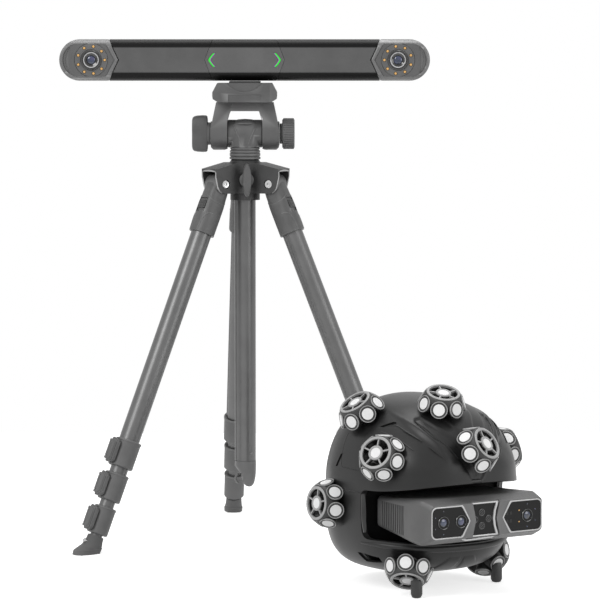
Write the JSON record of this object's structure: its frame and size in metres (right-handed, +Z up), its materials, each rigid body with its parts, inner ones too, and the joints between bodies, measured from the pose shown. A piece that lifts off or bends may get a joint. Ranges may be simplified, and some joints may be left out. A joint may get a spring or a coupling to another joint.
{
  "type": "three-d scanner",
  "caption": "Optical scanning set: a long tracker bar with a camera at each end on a folding tripod, and a ball-shaped hand scanner ringed with round reflective markers.",
  "frame": {"origin": "middle of the whole set's footprint box, on the ground", "axes": "+Z up, +X to the right of the tracker bar seen from its camera side, cameras look along -Y"},
  "size_m": [0.6486, 0.855, 0.711],
  "materials": {
    "anodised_tube": "satin anodised",
    "bar_housing": "satin moulded",
    "black_rubber": "matt",
    "button_plastic": "satin",
    "cap_housing": "satin",
    "clamp_plastic": "satin moulded",
    "dark_casting": "fine textured satin paint",
    "lens_glass": "coated glass in a black barrel",
    "module_metal": "fine textured paint",
    "shell_plastic": "satin moulded",
    "wheel_plastic": "satin, with white reflective discs"
  },
  "bodies": {
    "stand": {"apex_casting": "dark_casting", "shell_upper": "shell_plastic", "shell_lower": "shell_plastic", "module_body": "module_metal", "module_lens_1": "lens_glass", "module_lens_2": "lens_glass", "module_lens_3": "lens_glass", "handle": "black_rubber", "marker_wheel_1": "wheel_plastic", "marker_wheel_2": "wheel_plastic", "marker_wheel_3": "wheel_plastic", "marker_wheel_4": "wheel_plastic", "marker_wheel_5": "wheel_plastic", "marker_wheel_6": "wheel_plastic", "marker_wheel_7": "wheel_plastic", "marker_wheel_8": "wheel_plastic"},
    "leg_1": {"leg_1_shoulder": "dark_casting", "leg_1_tube_1": "anodised_tube"},
    "leg_1_part_2": {"leg_1_section_2": "anodised_tube"},
    "leg_1_part_3": {"leg_1_section_3": "anodised_tube"},
    "leg_1_part_4": {"leg_1_section_4": "anodised_tube", "leg_1_foot": "black_rubber"},
    "leg_1_clamp_1": {"leg_1_lever_1": "clamp_plastic"},
    "leg_1_clamp_2": {"leg_1_lever_2": "clamp_plastic"},
    "leg_1_clamp_3": {"leg_1_lever_3": "clamp_plastic"},
    "leg_2": {"leg_2_shoulder": "dark_casting", "leg_2_tube_1": "anodised_tube"},
    "leg_2_part_2": {"leg_2_section_2": "anodised_tube"},
    "leg_2_part_3": {"leg_2_section_3": "anodised_tube"},
    "leg_2_part_4": {"leg_2_section_4": "anodised_tube", "leg_2_foot": "black_rubber"},
    "leg_2_clamp_1": {"leg_2_lever_1": "clamp_plastic"},
    "leg_2_clamp_2": {"leg_2_lever_2": "clamp_plastic"},
    "leg_2_clamp_3": {"leg_2_lever_3": "clamp_plastic"},
    "leg_3": {"leg_3_shoulder": "dark_casting", "leg_3_tube_1": "anodised_tube"},
    "leg_3_part_2": {"leg_3_section_2": "anodised_tube"},
    "leg_3_part_3": {"leg_3_section_3": "anodised_tube"},
    "leg_3_part_4": {"leg_3_section_4": "anodised_tube", "leg_3_foot": "black_rubber"},
    "leg_3_clamp_1": {"leg_3_lever_1": "clamp_plastic"},
    "leg_3_clamp_2": {"leg_3_lever_2": "clamp_plastic"},
    "leg_3_clamp_3": {"leg_3_lever_3": "clamp_plastic"},
    "column": {"centre_column": "anodised_tube", "column_hook": "dark_casting"},
    "column_knob": {"column_lock_knob": "dark_casting"},
    "pan_head": {"pan_base": "dark_casting", "head_drum": "dark_casting"},
    "tilt_head": {"head_yoke": "dark_casting", "head_platform": "dark_casting", "quick_plate": "black_rubber", "tracker_bar": "bar_housing", "tracker_sleeve": "cap_housing", "tracker_end_cap_left": "cap_housing", "tracker_end_cap_right": "cap_housing", "tracker_lens_left": "lens_glass", "tracker_lens_right": "lens_glass"},
    "lock_knob": {"tilt_lock_knob": "black_rubber"},
    "drag_knob": {"tilt_drag_knob": "black_rubber"},
    "trigger": {"trigger_button": "button_plastic"}
  },
  "joints": [
    {"name": "leg_1_fold", "type": "hinge", "parent": "stand", "child": "leg_1", "pos_m": [-0.10016, 0.11532, 0.5072], "axis": [0.5736, -0.8192, 0], "range_deg": [0, 22]},
    {"name": "leg_1_slide_2", "type": "slide", "parent": "leg_1", "child": "leg_1_part_2", "axis": [-0.3201, -0.2241, -0.9205], "range_m": [0, 0.3]},
    {"name": "leg_1_slide_3", "type": "slide", "parent": "leg_1_part_2", "child": "leg_1_part_3", "axis": [-0.3201, -0.2241, -0.9205], "range_m": [0, 0.3]},
    {"name": "leg_1_slide_4", "type": "slide", "parent": "leg_1_part_3", "child": "leg_1_part_4", "axis": [-0.3201, -0.2241, -0.9205], "range_m": [0, 0.3]},
    {"name": "leg_1_lever_1_turn", "type": "hinge", "parent": "leg_1", "child": "leg_1_clamp_1", "pos_m": [-0.2506, 0.02036, 0.1432], "axis": [-0.3201, -0.2241, -0.9205], "range_deg": [0, 110]},
    {"name": "leg_1_lever_2_turn", "type": "hinge", "parent": "leg_1_part_2", "child": "leg_1_clamp_2", "pos_m": [-0.26523, 0.01012, 0.09754], "axis": [-0.3201, -0.2241, -0.9205], "range_deg": [0, 110]},
    {"name": "leg_1_lever_3_turn", "type": "hinge", "parent": "leg_1_part_3", "child": "leg_1_clamp_3", "pos_m": [-0.27986, -0.00012, 0.05189], "axis": [-0.3201, -0.2241, -0.9205], "range_deg": [0, 110]},
    {"name": "leg_2_fold", "type": "hinge", "parent": "stand", "child": "leg_2", "pos_m": [-0.02252, 0.12212, 0.5072], "axis": [0.4226, 0.9063, 0], "range_deg": [0, 22]},
    {"name": "leg_2_slide_2", "type": "slide", "parent": "leg_2", "child": "leg_2_part_2", "axis": [0.3541, -0.1651, -0.9205], "range_m": [0, 0.3]},
    {"name": "leg_2_slide_3", "type": "slide", "parent": "leg_2_part_2", "child": "leg_2_part_3", "axis": [0.3541, -0.1651, -0.9205], "range_m": [0, 0.3]},
    {"name": "leg_2_slide_4", "type": "slide", "parent": "leg_2_part_3", "child": "leg_2_part_4", "axis": [0.3541, -0.1651, -0.9205], "range_m": [0, 0.3]},
    {"name": "leg_2_lever_1_turn", "type": "hinge", "parent": "leg_2", "child": "leg_2_clamp_1", "pos_m": [0.13495, 0.03931, 0.1432], "axis": [0.3541, -0.1651, -0.9205], "range_deg": [0, 110]},
    {"name": "leg_2_lever_2_turn", "type": "hinge", "parent": "leg_2_part_2", "child": "leg_2_clamp_2", "pos_m": [0.15113, 0.03177, 0.09754], "axis": [0.3541, -0.1651, -0.9205], "range_deg": [0, 110]},
    {"name": "leg_2_lever_3_turn", "type": "hinge", "parent": "leg_2_part_3", "child": "leg_2_clamp_3", "pos_m": [0.16731, 0.02422, 0.05189], "axis": [0.3541, -0.1651, -0.9205], "range_deg": [0, 110]},
    {"name": "leg_3_fold", "type": "hinge", "parent": "stand", "child": "leg_3", "pos_m": [-0.06722, 0.18596, 0.5072], "axis": [-0.9962, -0.0872, 0], "range_deg": [0, 22]},
    {"name": "leg_3_slide_2", "type": "slide", "parent": "leg_3", "child": "leg_3_part_2", "axis": [-0.0341, 0.3892, -0.9205], "range_m": [0, 0.3]},
    {"name": "leg_3_slide_3", "type": "slide", "parent": "leg_3_part_2", "child": "leg_3_part_3", "axis": [-0.0341, 0.3892, -0.9205], "range_m": [0, 0.3]},
    {"name": "leg_3_slide_4", "type": "slide", "parent": "leg_3_part_3", "child": "leg_3_part_4", "axis": [-0.0341, 0.3892, -0.9205], "range_m": [0, 0.3]},
    {"name": "leg_3_lever_1_turn", "type": "hinge", "parent": "leg_3", "child": "leg_3_clamp_1", "pos_m": [-0.07424, 0.36373, 0.1432], "axis": [-0.0341, 0.3892, -0.9205], "range_deg": [0, 110]},
    {"name": "leg_3_lever_2_turn", "type": "hinge", "parent": "leg_3_part_2", "child": "leg_3_clamp_2", "pos_m": [-0.0758, 0.38152, 0.09754], "axis": [-0.0341, 0.3892, -0.9205], "range_deg": [0, 110]},
    {"name": "leg_3_lever_3_turn", "type": "hinge", "parent": "leg_3_part_3", "child": "leg_3_clamp_3", "pos_m": [-0.07735, 0.39931, 0.05189], "axis": [-0.0341, 0.3892, -0.9205], "range_deg": [0, 110]},
    {"name": "column_lift", "type": "slide", "parent": "stand", "child": "column", "axis": [0, 0, 1], "range_m": [0, 0.25]},
    {"name": "column_knob_turn", "type": "hinge", "parent": "stand", "child": "column_knob", "pos_m": [-0.0608, 0.11253, 0.5132], "axis": [0.0872, -0.9962, 0], "range_deg": [0, 180]},
    {"name": "pan", "type": "hinge", "parent": "column", "child": "pan_head", "pos_m": [-0.0633, 0.14114, 0.5502], "axis": [0, 0, 1], "continuous": true},
    {"name": "tilt", "type": "hinge", "parent": "pan_head", "child": "tilt_head", "pos_m": [-0.0633, 0.14114, 0.5777], "axis": [1, 0, 0], "range_deg": [-60, 80]},
    {"name": "tilt_lock_turn", "type": "hinge", "parent": "tilt_head", "child": "lock_knob", "pos_m": [-0.1119, 0.14114, 0.5777], "axis": [1, 0, 0], "range_deg": [0, 180]},
    {"name": "tilt_drag_turn", "type": "hinge", "parent": "tilt_head", "child": "drag_knob", "pos_m": [-0.0147, 0.14114, 0.5777], "axis": [1, 0, 0], "range_deg": [0, 270]},
    {"name": "trigger_press", "type": "slide", "parent": "stand", "child": "trigger", "axis": [-0.5373, 0.8434, 0], "range_m": [0, 0.003], "stiffness_N_per_m": 400}
  ]
}
